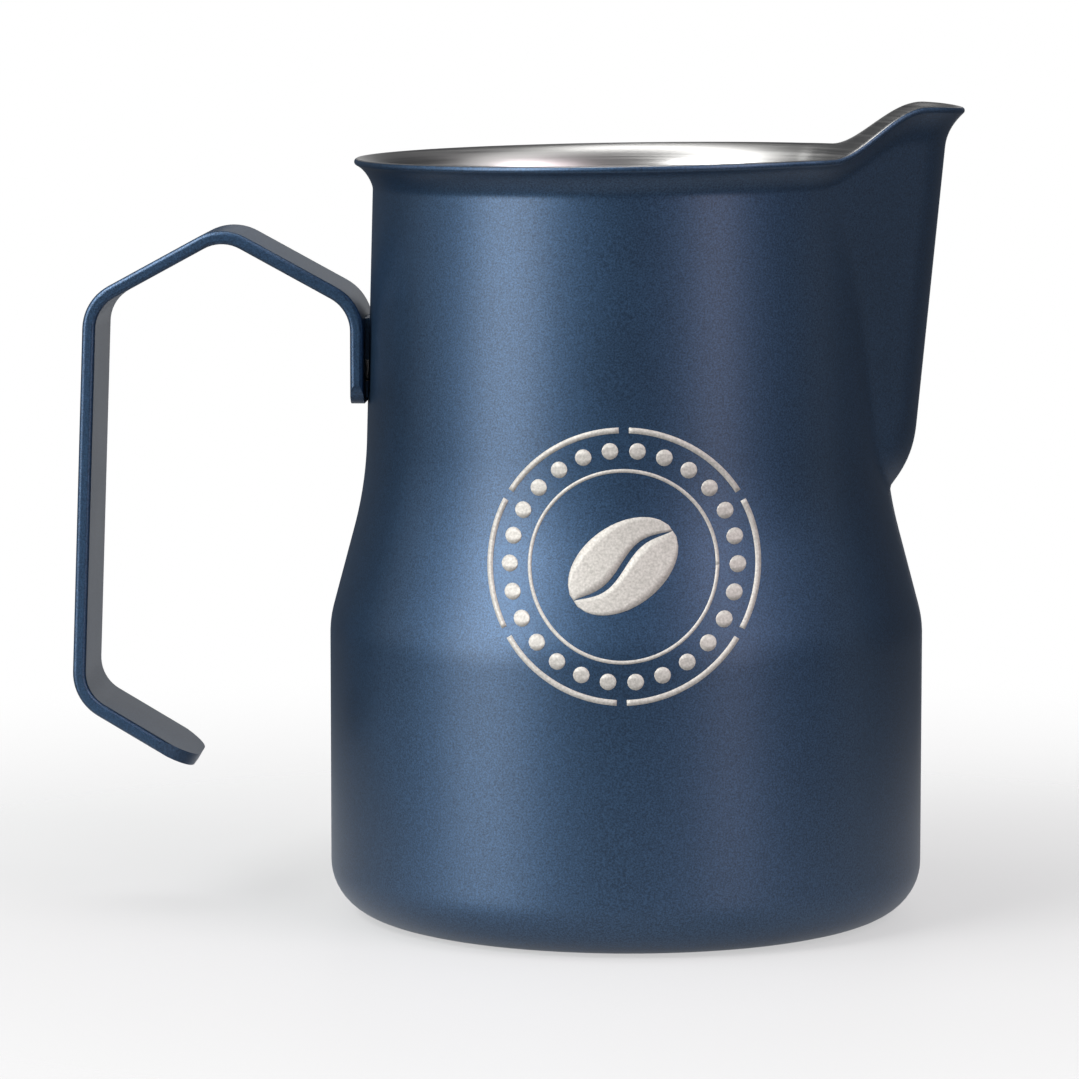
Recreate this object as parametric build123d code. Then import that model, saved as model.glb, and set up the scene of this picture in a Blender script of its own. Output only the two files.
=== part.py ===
from build123d import *
from math import cos, exp, hypot, radians, sin, tan
import os

# Milk frothing pitcher, 0.5 litre. Millimetres, +Z up, +X towards the spout.
# The origin is the centre of the base, on the axis of the round cup.
# All sizes are of the finished, coated surfaces.

SHEET = 1.0              # thickness of the coated sheet of the cup and the spout

# Cup: radius and height of its corners
BASE_RADIUS = 43.0
BASE_CORNER = 7.5
SHOULDER_HEIGHT = 42.8   # top of the straight lower wall
SHOULDER_ROUND = 15.0
WAIST = (37.76, 62.4)    # where the cone meets the neck
WAIST_ROUND = 55.0
NECK_TOP = (36.6, 106.1)
RIM_RADIUS = 38.94
RIM_HEIGHT = 110.5       # top of the flared rim
FLARE_TILT = 22.0        # slope of the flare where it ends, above horizontal
HEADROOM = 130.0         # how high the cutting shapes are carried

# Spout: a rounded V channel whose nose leans out and curls in at its foot
NOSE_X = 41.85           # nose of the channel at NOSE_HEIGHT
NOSE_HEIGHT = 71.8
NOSE_LEAN = 0.0951       # outward lean of the nose, mm per mm of height
FOOT_START = 71.5        # below this height the nose curls in towards the cup
FOOT_CURL = 0.0141
FOOT_POWER = 2.39
NOSE_ROUND = 13.0
WALL_ANGLE = 43.0        # direction that each side wall faces, from +X
TUCK_START = 31.5        # behind this X the side walls curl in under the cup's wall
TUCK_CURL = 0.06
SPOUT_BACK = 24.0        # how far back the channel is built inside the cup
SPOUT_FLOOR = 56.0
SPOUT_TOP = 119.0
ROW_STEP = 0.75
SIDE_POINTS = 24
ARC_POINTS = 12

# Lip: from the side it rises in an S from the rim. The sheet flares out just below it.
LIP_BACK = 29.5          # X where the lip leaves the rim
LIP_FRONT = 43.0         # X where it is level again
LIP_RISE = 6.75
TIP_X = 50.0
TIP_DROOP = 1.0
FLARE_DEPTH = 5.5        # height of the flared band under the lip
FLARE_BACK = 0.10
FLARE_TIP = 0.135
FLARE_POWER = 1.84
FLARE_REACH = 1.8        # how far forward the flare carries the lip

# Seam: the weld runs just behind both creases and under the foot, (X, Z)
SEAM = [(27.0, 112.0), (27.6, 106.4), (29.9, 92.7), (32.3, 78.4)]
SEAM += [(34.0, 69.0), (35.7, 62.0), (40.6, 56.4)]
SEAM_WIDTH = 1.2

# Handle: a flat strip bent into an open hook. Corners of its middle line, (X, Z).
STRIP_WIDTH = 18.0
STRIP_THICKNESS = 1.9
STRIP_CORNERS = [(-38.45, 74.3), (-38.45, 88.6), (-57.8, 99.15)]
STRIP_CORNERS += [(-76.95, 88.7), (-79.05, 31.6), (-62.5, 21.8)]
STRIP_BEND = 6.3
STRIP_EDGE = 0.6         # rounding along the strip's edges
PAD_CORNER = 3.0         # rounding of the corners of the welded end
HOOK_CORNER = 6.5        # and of the free end
WELD_WIDTH = 9.0
UPPER_WELD = (80.5, 86.5)    # bottom and top of each weld
LOWER_WELD = (75.0, 77.4)


def cup_outline(inset):
    """Half section of the cup, `inset` inside its outer surface."""
    tilt = radians(FLARE_TILT)
    flare_end = Vector(RIM_RADIUS, RIM_HEIGHT - SHEET / cos(tilt))
    beyond = flare_end + Vector(cos(tilt), sin(tilt)) * 4
    wall = Polyline((-BASE_RADIUS, 0), (BASE_RADIUS, 0), (BASE_RADIUS, SHOULDER_HEIGHT), WAIST, NECK_TOP)
    flare = TangentArc(NECK_TOP, flare_end, tangent=Vector(NECK_TOP) - Vector(WAIST))
    top = Polyline(flare_end, beyond, (beyond.X, HEADROOM), (-BASE_RADIUS, HEADROOM), (-BASE_RADIUS, 0))
    section = make_face([*wall.edges(), flare.edge(), *top.edges()])
    corners = [
        ((BASE_RADIUS, 0), BASE_CORNER),
        ((BASE_RADIUS, SHOULDER_HEIGHT), SHOULDER_ROUND),
        (WAIST, WAIST_ROUND),
    ]
    for point, radius in corners:
        section = fillet(section.vertices().sort_by_distance(point)[0], radius)
    if inset:
        section = offset(section, -inset, kind=Kind.INTERSECTION)
    return section & Pos(50, 60) * Rectangle(100, 200)


def cup_core(inset):
    """Everything inside the cup's outer surface less `inset`, carried on above the rim."""
    return revolve(Plane.XZ * cup_outline(inset), Axis.Z)


def nose_x(z):
    """X of the channel's nose at a height, before the lip's flare."""
    foot = FOOT_CURL * max(0.0, FOOT_START - z) ** FOOT_POWER
    return NOSE_X + NOSE_LEAN * (z - NOSE_HEIGHT) - foot


def lip_height(x):
    """Height of the lip above a point of the rim or the spout, seen from the side."""
    share = min(1.0, max(0.0, (x - LIP_BACK) / (LIP_FRONT - LIP_BACK)))
    droop = TIP_DROOP * (max(0.0, x - LIP_FRONT) / (TIP_X - LIP_FRONT)) ** 2
    return RIM_HEIGHT + LIP_RISE * share * share * (3 - 2 * share) - droop


def flare(x, z):
    """How far the sheet at x is bent out at height z. The bend dies out above the lip."""
    lip = lip_height(x + FLARE_REACH)
    amount = FLARE_BACK + (FLARE_TIP - FLARE_BACK) * (lip - RIM_HEIGHT) / LIP_RISE
    rise = min(FLARE_DEPTH, max(0.0, z - lip + FLARE_DEPTH))
    rise += 1 - exp(-max(0.0, z - lip))
    return amount * rise ** FLARE_POWER


def channel_point(turn, behind, z, inset):
    """Point of the spout that faces `turn` from +X, on a side wall `behind` the nose arc."""
    centre = nose_x(z) - NOSE_ROUND
    x = centre + NOSE_ROUND * cos(turn) - behind
    y = NOSE_ROUND * sin(turn) + behind / tan(radians(WALL_ANGLE))
    slope = (nose_x(z + 0.1) - nose_x(z - 0.1)) * cos(turn) + flare(x, z + 0.1) - flare(x, z - 0.1)
    out = flare(x, z) - inset * hypot(1, slope / 0.2)
    tuck = TUCK_CURL * max(0.0, TUCK_START - x) ** 2
    return x + out * cos(turn), y + out * sin(turn) - tuck


def channel_row(z, inset):
    """Points across the spout at one height: a side wall, the nose and the other side wall."""
    angle = radians(WALL_ANGLE)
    half = []
    for index in range(ARC_POINTS + 1):
        half.append(channel_point(angle * index / ARC_POINTS, 0, z, inset))
    step = (half[-1][0] - SPOUT_BACK) / SIDE_POINTS
    for index in range(1, SIDE_POINTS + 1):
        half.append(channel_point(angle, step * index, z, inset))
    half[-1] = (SPOUT_BACK, half[-1][1])
    mirrored = [(x, -y) for x, y in reversed(half[1:])]
    return [Vector(x, y, z) for x, y in mirrored + half]


def channel_core(inset):
    """Everything inside the spout's outer surface less `inset`, closed by flat faces."""
    steps = round((SPOUT_TOP - SPOUT_FLOOR) / ROW_STEP)
    grid = [channel_row(SPOUT_FLOOR + ROW_STEP * index, inset) for index in range(steps + 1)]
    skin = Face.make_surface_from_array_of_points(grid, tol=0.005)
    edges = skin.edges()
    bottom = edges.filter_by_position(Axis.Z, SPOUT_FLOOR - 0.01, SPOUT_FLOOR + 0.01)
    top = edges.filter_by_position(Axis.Z, SPOUT_TOP - 0.01, SPOUT_TOP + 0.01)
    sides = edges.filter_by_position(Axis.X, SPOUT_BACK - 0.01, SPOUT_BACK + 0.01)
    low_end, high_end = (Line(row[0], row[-1]).edge() for row in (grid[0], grid[-1]))
    loops = [[*bottom, low_end], [*top, high_end], [*sides, low_end, high_end]]
    return Solid(Shell([skin, *(Face(Wire(loop)) for loop in loops)]))


def below_lip():
    """The space under the curved pouring edge, seen from the side."""
    steps = 12
    run = TIP_X - LIP_BACK
    across = [LIP_BACK + run * index / steps for index in range(steps + 1)]
    points = [(x, lip_height(x)) for x in across]
    lip = Spline(points)
    rest = Polyline(points[-1], (60, points[-1][1]), (60, 40), (10, 40), (10, RIM_HEIGHT), points[0])
    return extrude(Plane.XZ * make_face([lip.edge(), *rest.edges()]), 60, both=True)


def band(low, high, radius):
    """An upright cylinder on the axis between two heights."""
    return Pos(0, 0, low) * Cylinder(radius, high - low, align=(Align.CENTER, Align.CENTER, Align.MIN))


def seam_band():
    """The strip along both creases where the spout is welded into the cup."""
    return extrude(Plane.XZ * trace(Spline(SEAM), SEAM_WIDTH), 60, both=True)


def spout_side():
    """The space in front of the seam."""
    seam = Spline(SEAM)
    rest = Polyline(SEAM[-1], (60, SEAM[-1][1]), (60, 125), (SEAM[0][0], 125), SEAM[0])
    return extrude(Plane.XZ * make_face([seam.edge(), *rest.edges()]), 60, both=True)


def shell():
    """The thin wall of the cup and spout together, still in one piece."""
    rim = band(0, NECK_TOP[1], BASE_RADIUS + 1) + band(NECK_TOP[1], RIM_HEIGHT, RIM_RADIUS)
    outside = (cup_core(0) & rim) + (channel_core(0) & below_lip())
    cup_space = cup_core(SHEET) & band(0, RIM_HEIGHT, BASE_RADIUS)
    return outside - cup_space - channel_core(SHEET)


def rounded_end(tip, inward, radius):
    """What to cut from the strip so that its end at `tip` gets rounded corners."""
    plane = Plane(origin=tip, x_dir=inward, z_dir=inward.cross(Vector(0, 1, 0)))
    block = Pos(radius / 2, 0) * Rectangle(radius, STRIP_WIDTH + 2)
    keep = Pos(STRIP_WIDTH, 0) * Rectangle(2 * STRIP_WIDTH, STRIP_WIDTH)
    keep = fillet(keep.vertices().group_by(Axis.X)[0], radius)
    return extrude(plane * (block - keep), 2 * STRIP_THICKNESS, both=True)


def strip():
    """The bent strip of the handle, with rounded edges and rounded ends."""
    path = Plane.XZ * FilletPolyline(*STRIP_CORNERS, radius=STRIP_BEND)
    across = Plane(origin=path @ 0, x_dir=(0, 1, 0), z_dir=(0, 0, 1))
    bar = sweep(across * RectangleRounded(STRIP_WIDTH, STRIP_THICKNESS, STRIP_EDGE), path)
    bar -= rounded_end(path @ 0, path % 0, PAD_CORNER)
    return bar - rounded_end(path @ 1, (path % 1) * -1, HOOK_CORNER)


def handle_weld(low, high, wall, handle):
    """Weld metal that fills the gap between the handle's pad and the round cup."""
    blank = Pos(-37.2, 0, (low + high) / 2) * Box(2.6, WELD_WIDTH, high - low)
    return blank - wall - handle


def build():
    wall = shell()
    weld_zone = seam_band()
    front = spout_side()
    handle = strip()
    solid_cup = cup_core(0)
    return {
        "vessel_body": wall - front - weld_zone,
        "spout": (wall & front) - weld_zone,
        "spout_seam_weld": wall & weld_zone,
        "handle": handle,
        "handle_weld_upper": handle_weld(*UPPER_WELD, solid_cup, handle),
        "handle_weld_lower": handle_weld(*LOWER_WELD, solid_cup, handle),
    }


os.makedirs("parts", exist_ok=True)
for name, shape in build().items():
    print(name, len(shape.solids()), round(shape.volume, 1), shape.is_valid)
    export_step(shape, f"parts/{name}.step")
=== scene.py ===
from math import acos, cos, pi, radians, sin, sqrt

import bpy
import numpy as np
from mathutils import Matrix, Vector


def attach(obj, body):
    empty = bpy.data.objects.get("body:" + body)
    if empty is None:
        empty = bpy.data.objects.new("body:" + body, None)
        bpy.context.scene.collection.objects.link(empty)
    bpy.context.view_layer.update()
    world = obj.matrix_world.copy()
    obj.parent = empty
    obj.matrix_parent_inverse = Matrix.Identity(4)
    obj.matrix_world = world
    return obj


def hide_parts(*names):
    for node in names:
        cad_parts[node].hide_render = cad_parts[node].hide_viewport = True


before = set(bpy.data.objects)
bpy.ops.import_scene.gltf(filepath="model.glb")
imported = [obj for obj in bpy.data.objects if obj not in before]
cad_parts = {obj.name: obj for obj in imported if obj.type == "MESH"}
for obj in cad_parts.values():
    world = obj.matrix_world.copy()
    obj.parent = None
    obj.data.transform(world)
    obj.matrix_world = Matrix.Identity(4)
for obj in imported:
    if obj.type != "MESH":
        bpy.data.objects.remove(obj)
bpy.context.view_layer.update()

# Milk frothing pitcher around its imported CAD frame. Shapes are worked out in
# millimetres in the CAD frame and written to Blender in metres.
MM = 0.001

# Cup: the driving sizes of the CAD model. Points are (radius, height)
SHEET = 1.0
BASE_RADIUS = 43.0
BASE_CORNER = 7.5
SHOULDER_HEIGHT = 42.8
SHOULDER_ROUND = 15.0
WAIST = (37.76, 62.4)
WAIST_ROUND = 55.0
NECK_TOP = (36.6, 106.1)
RIM_RADIUS = 38.94
RIM_TOP = 110.0          # mean height of the rim
RIM_TILT = 0.59          # the rim is this much higher at the spout than at its middle

# Spout: a V section with a round nose that leans outwards, and curls in at its foot
NOSE_X = 42.0
NOSE_HEIGHT = 71.8       # height at which the nose stands at NOSE_X
NOSE_LEAN = 0.0951       # outward run for each millimetre of height
NOSE_ROUND = 13.0
FOOT_START = 71.5        # the nose curls in below this height
FOOT_CURL = 0.0141
FOOT_POWER = 2.39
WALL_ANGLE = 43.0
WALL_TUCK = 2.0          # draws the side walls in behind their flat, per square radian
SPOUT_SPREAD = 1.3       # azimuth at which the side walls end, radians
CREASE_SOFTNESS = 0.5    # the crease is rounded where cup and spout are less than this apart

# Pouring edge
LIP_BACK = 29.6          # the edge starts to rise here, as x
LIP_FRONT = 43.5         # and is at its highest here
LIP_RISE = 6.8
TIP_DROOP = 0.75         # drop of the edge at TIP_RUN in front of LIP_FRONT
TIP_RUN = 7.0
EDGE_GAP = 0.87          # height of the half-round edge above the end of the outer surface

# Flare below the edge, as pairs: along the rim, and at the front of the spout
FLARE = (2.50, 2.15)
FLARE_DEPTH = (3.5, 4.9)
FLARE_POWER = (1.55, 2.20)
HOOK_SHARE = (0.18, 0.0)  # part of the flare that is a tighter curl at the very edge
HOOK_POWER = 8

# Mark on the front wall
MARK_X = 1.0
MARK_Z = 55.0
MARK_PROUD = 0.04
OUTER_RING = 18.6
OUTER_RING_WIDTH = 0.8
MARK_BREAKS = 6
MARK_BREAK = 0.075       # gap between the arcs of the outer ring, radians
INNER_RING = 13.0
INNER_RING_WIDTH = 0.5
DOT_CIRCLE = 15.8
DOT_RADIUS = 1.15
MARK_DOTS = 26
BEAN_LENGTH = 8.4
BEAN_WIDTH = 5.6
BEAN_TURN = radians(35)
CLEFT_SWING = 1.1        # how far the bean's cleft swings to each side
CLEFT_HALF = 0.4         # half of the cleft's width

# Mesh density of the vessel
LINE_STEP = 0.3          # spacing of the outline's points along its rounds
COLUMNS = 400
CORNER_ROWS = 14
BODY_ROWS = 46
BODY_END = 58.0          # rows are further apart up to here
NECK_ROWS = 66
NECK_START = 58.6
NECK_END = 100.0         # rows are level up to here and follow the lip above it
LIP_ROWS = 30
LIP_CROWDING = 1.5       # above 1, the rows crowd towards the lip
LIP_PASSES = 6           # rounds of working out where the flared edge meets the lip's curve
EDGE_STEPS = 8           # steps round the half-round edge
COATED_STEPS = 5         # how many of them the coat covers, from the outside
FLAT_SHARES = (0.2, 0.5, 0.8, 0.93)  # rings of the flat bottom, as shares of its radius
TINY = 1e-3              # angle over which a slope is taken, radians

# Floor
FLOOR_RINGS = 24
FLOOR_SPOKES = 96
FLOOR_STEP = 60.0        # width of a ring
FLOOR_SOLID = 0.75       # opacity under the pitcher
FADE_START = 0.04        # distances from the axis between which the floor fades out, metres
FADE_END = 0.25

# Camera
CAMERA_PLACE = (28.4, -782.5, 144.9)
CAMERA_TURN = 3.0        # the view comes from this far round towards the spout, degrees
CAMERA_DIP = 6.616       # the view slopes down by this much, degrees
LENS = 181.0
FILM = 36.0


def between(pair, share):
    """The first of the pair at share 0, the second at share 1."""
    return pair[0] + (pair[1] - pair[0]) * share


def smoothstep(x):
    """Smooth rise from 0 to 1 while x goes from 0 to 1."""
    x = np.clip(x, 0.0, 1.0)
    return x * x * (3 - 2 * x)


def filleted(corners, radii, step):
    """Points along a polyline of (r, z) corners whose inner corners are rounded."""
    points = [np.array(corners[0], float)]
    for before, corner, after, radius in zip(corners, corners[1:], corners[2:], radii):
        before, corner, after = (np.array(p, float) for p in (before, corner, after))
        a = (before - corner) / np.linalg.norm(before - corner)
        b = (after - corner) / np.linalg.norm(after - corner)
        half = acos(float(np.clip(a @ b, -1, 1))) / 2
        middle = (a + b) / np.linalg.norm(a + b)
        centre = corner + middle * radius / sin(half)
        first = corner + a * radius / np.tan(half) - centre
        last = corner + b * radius / np.tan(half) - centre
        turn = pi - 2 * half
        count = max(2, int(radius * turn / step))
        for index in range(count + 1):
            share = index / count
            arm = (sin((1 - share) * turn) * first + sin(share * turn) * last) / sin(turn)
            points.append(centre + arm)
    points.append(np.array(corners[-1], float))
    return np.array(points)


CUP_CORNERS = [(BASE_RADIUS, BASE_CORNER), (BASE_RADIUS, SHOULDER_HEIGHT), WAIST, NECK_TOP]
CUP_LINE = filleted(CUP_CORNERS, [SHOULDER_ROUND, WAIST_ROUND], LINE_STEP)
NECK_SLOPE = (NECK_TOP[0] - WAIST[0]) / (NECK_TOP[1] - WAIST[1])


def cup_radius(z):
    """Outer radius of the plain cup, before the rim's flare."""
    line = np.interp(z, CUP_LINE[:, 1], CUP_LINE[:, 0])
    above = NECK_TOP[0] + NECK_SLOPE * (z - NECK_TOP[1])
    return np.where(z > NECK_TOP[1], above, line)


def nose_x(z):
    """Distance of the nose from the axis."""
    foot = FOOT_CURL * np.maximum(0.0, FOOT_START - z) ** FOOT_POWER
    return NOSE_X + NOSE_LEAN * (z - NOSE_HEIGHT) - foot


def channel_radius(azimuth, z):
    """Distance from the axis to the spout's V section, along each azimuth."""
    azimuth = np.abs(azimuth)
    wall = radians(WALL_ANGLE)
    centre = nose_x(z) - NOSE_ROUND
    reach = np.maximum(0.0, NOSE_ROUND**2 - (centre * np.sin(azimuth)) ** 2)
    nose = centre * np.cos(azimuth) + np.sqrt(reach)
    distance = centre * cos(wall) + NOSE_ROUND
    side = distance / np.cos(np.minimum(azimuth, wall) - wall)
    side = side * (1 - WALL_TUCK * np.maximum(0.0, azimuth - wall) ** 2)
    corner = np.arctan2(NOSE_ROUND * sin(wall), centre + NOSE_ROUND * cos(wall))
    radius = np.where(azimuth < corner, nose, side)
    return np.where((centre > 0) & (azimuth < SPOUT_SPREAD), radius, 0.0)


def wall_radius(azimuth, z):
    """Cup and spout together, with the crease between them softened."""
    cup = cup_radius(z)
    channel = channel_radius(azimuth, z)
    gap = np.maximum(0.0, CREASE_SOFTNESS - np.abs(cup - channel)) / CREASE_SOFTNESS
    return np.maximum(cup, channel) + gap * gap * CREASE_SOFTNESS / 4


def lip_share(x):
    """0 along the rim, 1 at the front of the spout."""
    return smoothstep((x - LIP_BACK) / (LIP_FRONT - LIP_BACK))


def lip_height(x):
    """Height of the pouring edge over x, seen from the side."""
    rim = RIM_TOP + RIM_TILT * np.minimum(x, LIP_BACK) / RIM_RADIUS
    rise = LIP_RISE * lip_share(x)
    droop = TIP_DROOP * (np.maximum(0.0, x - LIP_FRONT) / TIP_RUN) ** 2
    return rim + rise - droop


def flare_out(below, share):
    """Outward bend of the sheet at a distance below its edge. Share is 0 on the rim, 1 on the spout."""
    rise = np.clip(1 - below / between(FLARE_DEPTH, share), 0.0, 1.0)
    hook = between(HOOK_SHARE, share)
    bend = (1 - hook) * rise ** between(FLARE_POWER, share) + hook * rise**HOOK_POWER
    return between(FLARE, share) * bend


def lip_columns(azimuth):
    """For each column, its share of the spout's lip and the height at which the outer surface ends."""
    lip_x = wall_radius(azimuth, np.full_like(azimuth, RIM_TOP)) * np.cos(azimuth)
    for _ in range(LIP_PASSES):
        share = lip_share(lip_x)
        top = lip_height(lip_x) - EDGE_GAP
        reach = wall_radius(azimuth, top) + flare_out(0.0, share)
        lip_x = reach * np.cos(azimuth)
    return share, top


def row_heights(top):
    """Heights of the wall's rows: level on the body and neck, then spread up to the lip."""
    body = np.linspace(BASE_CORNER, BODY_END, BODY_ROWS)
    neck = np.linspace(NECK_START, NECK_END, NECK_ROWS)
    climb = 1 - (1 - np.linspace(0, 1, LIP_ROWS + 1)[1:]) ** LIP_CROWDING
    rows = [np.full(COLUMNS, z) for z in (*body, *neck)]
    rows += [NECK_END + (top - NECK_END) * share for share in climb]
    return np.array(rows)


def wall_grid(azimuth):
    """The wall from the base corner to the lip, flared along its own level normal."""
    share, top = lip_columns(azimuth)
    z = row_heights(top)
    a = np.broadcast_to(azimuth, z.shape)
    radius = wall_radius(a, z)
    slope = (wall_radius(a + TINY, z) - wall_radius(a - TINY, z)) / (2 * TINY)
    normal_x = radius * np.cos(a) + slope * np.sin(a)
    normal_y = radius * np.sin(a) - slope * np.cos(a)
    out = flare_out(top - z, np.broadcast_to(share, z.shape)) / np.hypot(normal_x, normal_y)
    return np.stack([radius * np.cos(a) + normal_x * out, radius * np.sin(a) + normal_y * out, z], -1)


def base_corner_grid(azimuth):
    """The quarter round between the flat bottom and the wall."""
    rows = []
    for index in range(CORNER_ROWS):
        turn = pi / 2 * index / CORNER_ROWS
        radius = BASE_RADIUS - BASE_CORNER + BASE_CORNER * sin(turn)
        z = np.full(COLUMNS, BASE_CORNER * (1 - cos(turn)))
        rows.append(np.stack([radius * np.cos(azimuth), radius * np.sin(azimuth), z], -1))
    return np.array(rows)


def outer_grid():
    """Outer surface of the vessel: rows from the flat bottom to the lip, columns round the axis."""
    azimuth = np.linspace(-pi, pi, COLUMNS, endpoint=False)
    return np.concatenate([base_corner_grid(azimuth), wall_grid(azimuth)])


def grid_normals(grid):
    """Outward unit normals of a grid whose columns close on themselves."""
    across = np.roll(grid, -1, 1) - np.roll(grid, 1, 1)
    up = np.gradient(grid, axis=0)
    normal = np.cross(across, up)
    return normal / np.linalg.norm(normal, axis=-1, keepdims=True)


def vessel_rings():
    """Every ring of the vessel, from the middle of the underside round the lip to the inside floor.
    Returns the rings, and the index of the first coated and the first bare ring."""
    outer = outer_grid()
    normals = grid_normals(outer)
    normals[0] = (0, 0, -1)
    inner = outer - normals * SHEET
    inside = [*inner[:0:-2], inner[0]]  # half the rows are enough inside
    tangent = outer[-1] - outer[-2]
    tangent /= np.linalg.norm(tangent, axis=-1, keepdims=True)
    middle = (outer[-1] + inner[-1]) / 2
    edge = []
    for index in range(1, EDGE_STEPS):
        turn = pi * index / EDGE_STEPS
        edge.append(middle + (normals[-1] * cos(turn) + tangent * sin(turn)) * SHEET / 2)
    under = [outer[0] * (share, share, 0) for share in FLAT_SHARES]
    floor = [inner[0] * (share, share, 1) for share in reversed(FLAT_SHARES)]
    coated = len(under)
    bare = len(under) + len(outer) - 1 + COATED_STEPS
    return [*under, *outer, *edge, *inside, *floor], coated, bare


def mesh_object(name, vertices, faces, materials):
    """A smooth-shaded mesh piece from vertices in millimetres."""
    mesh = bpy.data.meshes.new(name)
    mesh.from_pydata([tuple(v) for v in np.asarray(vertices) * MM], [], faces)
    for material in materials:
        mesh.materials.append(material)
    mesh.shade_smooth()
    obj = bpy.data.objects.new(name, mesh)
    bpy.context.scene.collection.objects.link(obj)
    return obj


def make_vessel(coat, steel):
    """Cup and spout as one coated shell, bare inside, underneath and on the inner part of its edge."""
    rings, coated, bare = vessel_rings()
    vertices = np.concatenate([*rings, [(0, 0, 0)], [(0, 0, SHEET)]])
    under, floor = len(vertices) - 2, len(vertices) - 1
    last = (len(rings) - 1) * COLUMNS
    faces, slots = [], []
    for column in range(COLUMNS):
        after = (column + 1) % COLUMNS
        for row in range(len(rings) - 1):
            low, high = row * COLUMNS, (row + 1) * COLUMNS
            faces.append((low + column, low + after, high + after, high + column))
            slots.append(0 if coated <= row < bare else 1)
        faces.append((after, column, under))
        faces.append((last + column, last + after, floor))
        slots += [1, 1]
    vessel = mesh_object("vessel", vertices, faces, [coat, steel])
    vessel.data.polygons.foreach_set("material_index", slots)
    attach(vessel, "root")
    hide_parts("vessel_body", "spout", "spout_seam_weld")


# Mark burnt into the coat by a laser: rings, a circle of dots and a coffee bean

def ring_piece(radius, width, start, stop):
    """Grid of points along an arc, as (x, z) from the middle of the mark."""
    longest = 0.6
    count = max(4, int(radius * (stop - start) / longest))
    turns = [start + (stop - start) * index / count for index in range(count + 1)]
    return [[(r * cos(t), r * sin(t)) for t in turns] for r in (radius + width / 2, radius - width / 2)]


def dot(centre_x, centre_z, radius):
    """Grid of points that fills a small disc. Its two ends are cut a little short of a point."""
    steps, cut = 8, 0.02
    turns = [pi * (cut + (1 - 2 * cut) * index / steps) for index in range(steps + 1)]
    grid = []
    for share in (1, 0.33, -0.33, -1):
        grid.append([(centre_x - radius * cos(t), centre_z + share * radius * sin(t)) for t in turns])
    return grid


def bean_half(side):
    """Grid of points for half a coffee bean, from its outer edge to its curved cleft. Side is 1 or -1."""
    steps, rows, end = 30, 6, 0.985
    grid = [[] for _ in range(rows)]
    for index in range(steps + 1):
        t = end * (2 * index / steps - 1)
        narrowing = sqrt(1 - t * t)
        cleft = (CLEFT_SWING * sin(pi * t) + side * CLEFT_HALF * narrowing) * sqrt(1 - t**4)
        edge = side * BEAN_WIDTH * narrowing
        along = BEAN_LENGTH * t
        for row, line in enumerate(grid):
            across = edge + (cleft - edge) * row / (rows - 1)
            x = along * cos(BEAN_TURN) - across * sin(BEAN_TURN)
            z = along * sin(BEAN_TURN) + across * cos(BEAN_TURN)
            line.append((x, z))
    return grid if side > 0 else grid[::-1]


def mark_grids():
    """Every figure of the mark: outer arcs, inner ring, circle of dots and the bean's halves."""
    grids = []
    arc = 2 * pi / MARK_BREAKS
    for index in range(MARK_BREAKS):
        start = arc * index + pi / 2 + MARK_BREAK / 2
        grids.append(ring_piece(OUTER_RING, OUTER_RING_WIDTH, start, start + arc - MARK_BREAK))
    grids.append(ring_piece(INNER_RING, INNER_RING_WIDTH, 0, 2 * pi))
    for index in range(MARK_DOTS):
        turn = 2 * pi * index / MARK_DOTS
        grids.append(dot(DOT_CIRCLE * cos(turn), DOT_CIRCLE * sin(turn), DOT_RADIUS))
    return [*grids, bean_half(1), bean_half(-1)]


def on_wall(x, z, proud):
    """A point of the front wall, moved outwards by `proud`."""
    radius = float(cup_radius(z)) + proud
    return (x, -sqrt(radius * radius - x * x), z)


def add_slab(grid, vertices, faces):
    """Add a thin slab over a grid of (x, z) points: an outer and an inner skin, and a rim between them."""
    rows, columns = len(grid), len(grid[0])
    base, back = len(vertices), rows * columns
    for proud in (MARK_PROUD, -MARK_PROUD):
        for line in grid:
            vertices.extend(on_wall(MARK_X + x, MARK_Z + z, proud) for x, z in line)
    for row in range(rows - 1):
        for column in range(columns - 1):
            a = base + row * columns + column
            faces.append((a, a + columns, a + columns + 1, a + 1))
            faces.append((a + back, a + back + 1, a + back + columns + 1, a + back + columns))
    rim = [*range(columns)]
    rim += [row * columns + columns - 1 for row in range(1, rows)]
    rim += [(rows - 1) * columns + column for column in range(columns - 2, -1, -1)]
    rim += [row * columns for row in range(rows - 2, 0, -1)]
    for here, after in zip(rim, rim[1:] + rim[:1]):
        faces.append((base + here, base + after, base + after + back, base + here + back))


def make_mark(frosted):
    """The mark's slabs as one piece, which stands a hair proud of the coat."""
    vertices, faces = [], []
    for grid in mark_grids():
        add_slab(grid, vertices, faces)
    mark = mesh_object("laser_mark", vertices, faces, [frosted])
    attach(mark, "root")


# Materials

def new_material(name, **sockets):
    """A Principled material. Sockets are set by name, with _ for a space."""
    material = bpy.data.materials.new(name)
    material.use_nodes = True
    shader = material.node_tree.nodes["Principled BSDF"]
    for socket, value in sockets.items():
        shader.inputs[socket.replace("_", " ")].default_value = value
    return material, material.node_tree, shader


def node(tree, kind, **values):
    """A new node. Values set its attributes, or else its sockets, with _ for a space."""
    made = tree.nodes.new(kind)
    for key, value in values.items():
        if hasattr(made, key):
            setattr(made, key, value)
        else:
            made.inputs[key.replace("_", " ")].default_value = value
    return made


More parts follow.
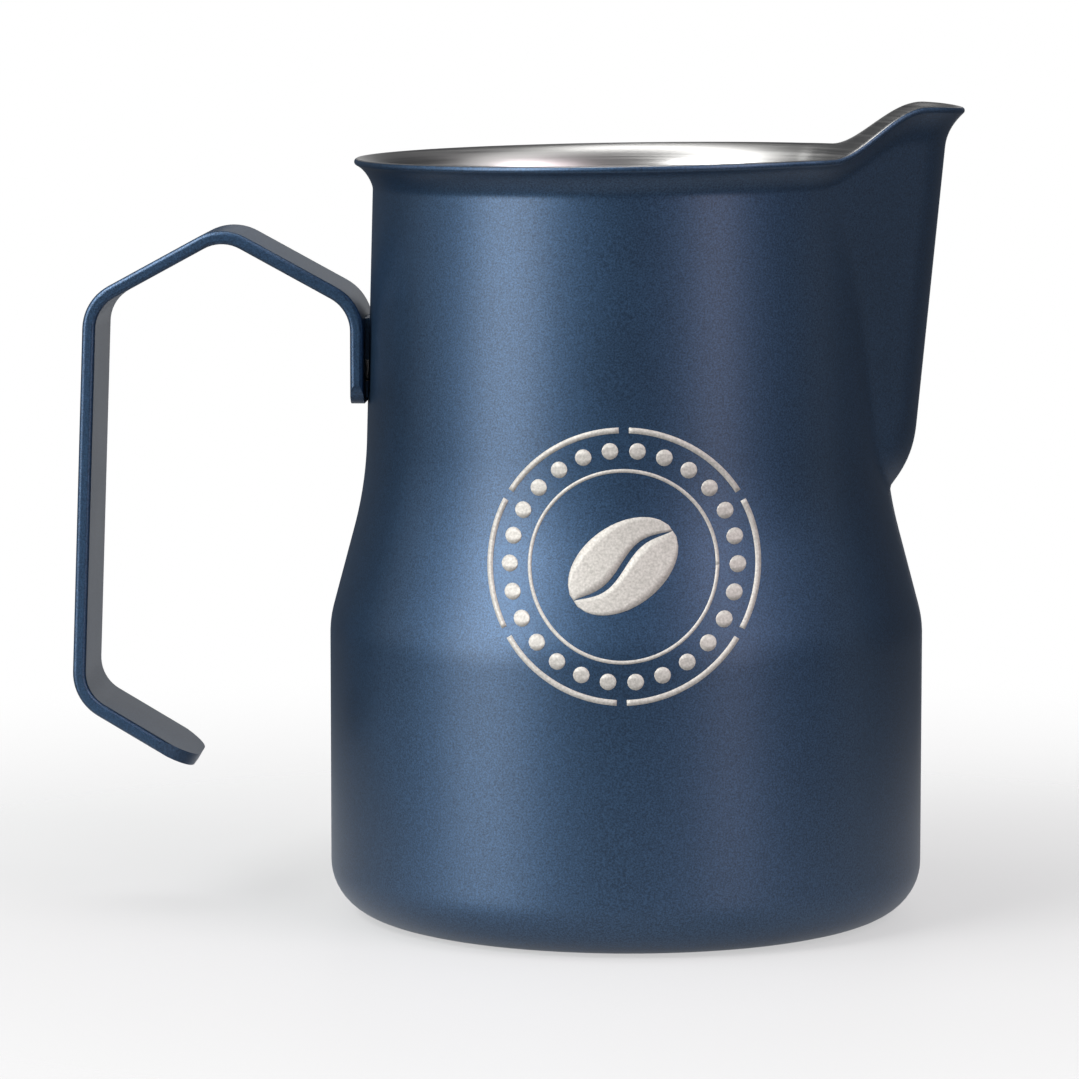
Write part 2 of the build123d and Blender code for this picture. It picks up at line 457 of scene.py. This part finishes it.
def noise(tree, scale, detail, roughness=0.5):
    """Noise fixed to the object. Scale is how many features there are to a metre, along x, y and z."""
    place = node(tree, "ShaderNodeTexCoord")
    stretch = node(tree, "ShaderNodeMapping", Scale=scale)
    grain = node(tree, "ShaderNodeTexNoise", Scale=1.0, Detail=detail, Roughness=roughness)
    tree.links.new(place.outputs["Object"], stretch.inputs["Vector"])
    tree.links.new(stretch.outputs["Vector"], grain.inputs["Vector"])
    return grain.outputs["Fac"]


def colour_by(tree, shader, grain, low, dark, high, light):
    """Colour that runs from dark, where the grain is low, to light, where it is high."""
    tone = node(tree, "ShaderNodeValToRGB")
    first, last = tone.color_ramp.elements
    first.position = low
    first.color = (*dark, 1)
    last.position = high
    last.color = (*light, 1)
    tree.links.new(grain, tone.inputs["Fac"])
    tree.links.new(tone.outputs["Color"], shader.inputs["Base Color"])


def roughness_by(tree, shader, grain, smooth, rough):
    """Roughness that follows the middle values of a noise."""
    spread = node(tree, "ShaderNodeMapRange", From_Min=0.3, From_Max=0.7, To_Min=smooth, To_Max=rough)
    tree.links.new(grain, spread.inputs["Value"])
    tree.links.new(spread.outputs["Result"], shader.inputs["Roughness"])


def relief_by(tree, shader, grain, strength, depth):
    """Fine relief that follows the grain, with its depth in metres."""
    bump = node(tree, "ShaderNodeBump", Strength=strength, Distance=depth)
    tree.links.new(grain, bump.inputs["Height"])
    tree.links.new(bump.outputs["Normal"], shader.inputs["Normal"])


def blue_coat():
    """Satin dark blue metallic coat with a fine sparkling grain, a little uneven in its sheen."""
    material, tree, shader = new_material("blue_coat", Metallic=1.0, Coat_Weight=0.85, Coat_Roughness=0.38)
    grain = noise(tree, (4200.0, 4200.0, 4200.0), 2.0, 0.7)
    colour_by(tree, shader, grain, 0.34, (0.012, 0.036, 0.076), 0.68, (0.040, 0.098, 0.190))
    relief_by(tree, shader, grain, 0.2, 0.00004)
    roughness_by(tree, shader, noise(tree, (60.0, 60.0, 60.0), 3.0), 0.50, 0.58)
    return material


def brushed_steel():
    """Bare stainless steel with a fine spun grain that runs round the axis."""
    material, tree, shader = new_material("brushed_steel", Metallic=1.0)
    grain = noise(tree, (25.0, 25.0, 2600.0), 4.0, 0.65)
    colour_by(tree, shader, grain, 0.25, (0.36, 0.355, 0.345), 0.75, (0.50, 0.495, 0.48))
    relief_by(tree, shader, grain, 0.25, 0.00003)
    roughness_by(tree, shader, grain, 0.28, 0.40)
    return material


def frosted_mark():
    """Pale frosted metal where the laser has burnt the coat away."""
    material, tree, shader = new_material("laser_mark", Metallic=0.35, Roughness=0.6)
    grain = noise(tree, (3000.0, 3000.0, 3000.0), 2.0)
    colour_by(tree, shader, grain, 0.3, (0.39, 0.378, 0.345), 0.7, (0.57, 0.553, 0.512))
    relief_by(tree, shader, grain, 0.2, 0.00003)
    return material


# Stage, lights and camera

def disc(rings, spokes, step):
    """Vertices and faces of a level disc of rings, around one middle vertex."""
    vertices, faces = [(0, 0, 0)], []
    for ring in range(1, rings + 1):
        for spoke in range(spokes):
            turn = 2 * pi * spoke / spokes
            vertices.append((ring * step * cos(turn), ring * step * sin(turn), 0))
    for spoke in range(spokes):
        after = (spoke + 1) % spokes
        faces.append((0, 1 + spoke, 1 + after))
        for ring in range(rings - 1):
            low, high = 1 + ring * spokes, 1 + (ring + 1) * spokes
            faces.append((low + spoke, high + spoke, high + after, low + after))
    return vertices, faces


def make_floor():
    """A pale round floor that fades out into the white background."""
    material, tree, shader = new_material(
        "floor", Base_Color=(0.34, 0.34, 0.34, 1), Roughness=0.55,
        Emission_Color=(1, 1, 1, 1), Emission_Strength=0.36)
    place = node(tree, "ShaderNodeTexCoord")
    length = node(tree, "ShaderNodeVectorMath", operation="LENGTH")
    fade = node(
        tree, "ShaderNodeMapRange", interpolation_type="SMOOTHSTEP",
        From_Min=FADE_START, From_Max=FADE_END, To_Min=FLOOR_SOLID, To_Max=0.0)
    link = tree.links.new
    link(place.outputs["Object"], length.inputs[0])
    link(length.outputs["Value"], fade.inputs["Value"])
    link(fade.outputs["Result"], shader.inputs["Alpha"])
    vertices, faces = disc(FLOOR_RINGS, FLOOR_SPOKES, FLOOR_STEP)
    mesh_object("floor", vertices, faces, [material])


def make_world():
    """White behind everything for the camera, dim and even for reflections."""
    world = bpy.data.worlds.new("studio")
    bpy.context.scene.world = world
    world.use_nodes = True
    tree = world.node_tree
    background = tree.nodes["Background"]
    background.inputs["Color"].default_value = (0.85, 0.9, 1.0, 1)
    background.inputs["Strength"].default_value = 0.09
    white = tree.nodes.new("ShaderNodeBackground")
    white.inputs["Strength"].default_value = 1.0
    white.inputs["Color"].default_value = (1, 1, 1, 1)
    path = tree.nodes.new("ShaderNodeLightPath")
    mix = tree.nodes.new("ShaderNodeMixShader")
    link = tree.links.new
    link(path.outputs["Is Camera Ray"], mix.inputs[0])
    link(background.outputs[0], mix.inputs[1])
    link(white.outputs[0], mix.inputs[2])
    link(mix.outputs[0], tree.nodes["World Output"].inputs["Surface"])


def softbox(name, azimuth, distance, height, width, tall, power, colour=(1, 1, 1), aim=(0, 0, 60)):
    """A rectangular light that the camera doesn't see, with its sizes in millimetres and its power in
    watts. Azimuth is in degrees: 0 is in front of the pitcher, and positive is to the right."""
    light = bpy.data.lights.new(name, "AREA")
    light.shape = "RECTANGLE"
    light.size = width * MM
    light.size_y = tall * MM
    light.energy = power
    light.color = colour
    obj = bpy.data.objects.new(name, light)
    turn = radians(azimuth)
    obj.location = Vector((distance * sin(turn), -distance * cos(turn), height)) * MM
    toward = Vector(aim) * MM - obj.location
    obj.rotation_mode = "QUATERNION"
    obj.rotation_quaternion = toward.to_track_quat("-Z", "Y")
    obj.visible_camera = False
    bpy.context.scene.collection.objects.link(obj)


def make_lights():
    """Two tall softboxes in front, each with a higher one for the shoulder, and others around them."""
    softbox("key", -51, 900, 380, 520, 1100, 9.8)
    softbox("key_high", -44, 850, 820, 450, 420, 5.6)
    softbox("fill", 41, 900, 380, 260, 1100, 3.1, (1.0, 0.86, 0.91))
    softbox("fill_high", 62, 850, 820, 320, 420, 3.2, (1.0, 0.90, 0.95))
    softbox("left", -92, 900, 270, 500, 500, 0.3)
    softbox("right", 94, 900, 120, 300, 500, 0.15)
    softbox("left_top", -90, 310, 900, 300, 900, 3.6, aim=(-200, 40, 0))
    softbox("right_top", 90, 480, 900, 400, 900, 1.5, aim=(200, 40, 0))
    softbox("back", 178, 900, 120, 400, 500, 0.35, aim=(0, 0, 80))


def make_camera():
    """Long lens, 0.78 m in front and a little to the spout's side, looking slightly down."""
    data = bpy.data.cameras.new("camera")
    data.lens = LENS
    data.sensor_width = FILM
    data.clip_start = 0.05
    data.clip_end = 40.0
    camera = bpy.data.objects.new("camera", data)
    camera.location = Vector(CAMERA_PLACE) * MM
    camera.rotation_euler = (radians(90 - CAMERA_DIP), 0, radians(CAMERA_TURN))
    bpy.context.scene.collection.objects.link(camera)
    bpy.context.scene.camera = camera


def coat_handle(coat):
    """Give the handle and its welds, which stay the CAD's own solids, the coat."""
    for name in ("handle", "handle_weld_upper", "handle_weld_lower"):
        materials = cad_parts[name].data.materials
        for index in range(len(materials)):
            materials[index] = coat


bpy.context.scene.view_settings.view_transform = "Standard"
coat = blue_coat()
make_vessel(coat, brushed_steel())
make_mark(frosted_mark())
coat_handle(coat)
make_floor()
make_world()
make_lights()
make_camera()
